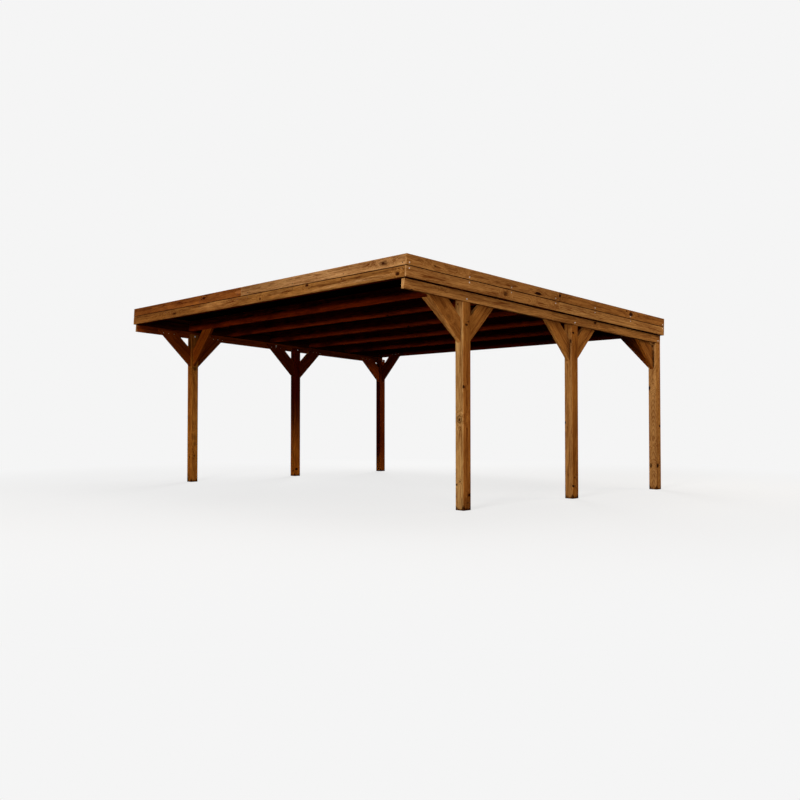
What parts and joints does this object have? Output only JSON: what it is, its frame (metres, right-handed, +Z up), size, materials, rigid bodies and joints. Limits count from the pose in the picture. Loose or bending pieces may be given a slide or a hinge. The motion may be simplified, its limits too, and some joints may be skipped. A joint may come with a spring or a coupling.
{
  "type": "carport",
  "caption": "Open double carport: stained timber posts, plates, rafters and knee braces under a flat roof that falls to the rear, with a board fascia all round.",
  "frame": {"origin": "on the ground under the centre of the roof's bounding box", "axes": "+Z up, +X to the right seen from the drive-in front, the front faces -Y and the roof falls towards +Y"},
  "size_m": [6.1, 5.1655, 2.712],
  "materials": {
    "post_timber": "walnut-brown stain on planed softwood",
    "plate_timber": "walnut-brown stain on planed softwood",
    "rafter_timber": "walnut-brown stain on planed softwood",
    "brace_timber": "walnut-brown stain on planed softwood",
    "fascia_timber": "walnut-brown stain on planed softwood",
    "roof_sheet": "dark coated ribbed steel sheet"
  },
  "bodies": {
    "root": {"brace_front_left_across": "brace_timber", "brace_front_left_back": "brace_timber", "brace_front_left_forward": "brace_timber", "brace_front_right_across": "brace_timber", "brace_front_right_back": "brace_timber", "brace_front_right_forward": "brace_timber", "brace_middle_left_back": "brace_timber", "brace_middle_left_forward": "brace_timber", "brace_middle_right_back": "brace_timber", "brace_middle_right_forward": "brace_timber", "brace_rear_left_across": "brace_timber", "brace_rear_left_forward": "brace_timber", "brace_rear_right_across": "brace_timber", "brace_rear_right_forward": "brace_timber", "fascia_front_lower": "fascia_timber", "fascia_front_upper": "fascia_timber", "fascia_left_lower": "fascia_timber", "fascia_left_upper": "fascia_timber", "fascia_rear_lower": "fascia_timber", "fascia_rear_upper": "fascia_timber", "fascia_right_lower": "fascia_timber", "fascia_right_upper": "fascia_timber", "plate_left_front": "plate_timber", "plate_left_rear": "plate_timber", "plate_right_front": "plate_timber", "plate_right_rear": "plate_timber", "post_front_left": "post_timber", "post_front_right": "post_timber", "post_middle_left": "post_timber", "post_middle_right": "post_timber", "post_rear_left": "post_timber", "post_rear_right": "post_timber", "rafter_1": "rafter_timber", "rafter_2": "rafter_timber", "rafter_3": "rafter_timber", "rafter_4": "rafter_timber", "rafter_5": "rafter_timber", "rafter_6": "rafter_timber", "rafter_7": "rafter_timber", "roof_sheet_1": "roof_sheet", "roof_sheet_2": "roof_sheet", "roof_sheet_3": "roof_sheet", "roof_sheet_4": "roof_sheet", "roof_sheet_5": "roof_sheet", "roof_sheet_6": "roof_sheet"}
  },
  "joints": []
}
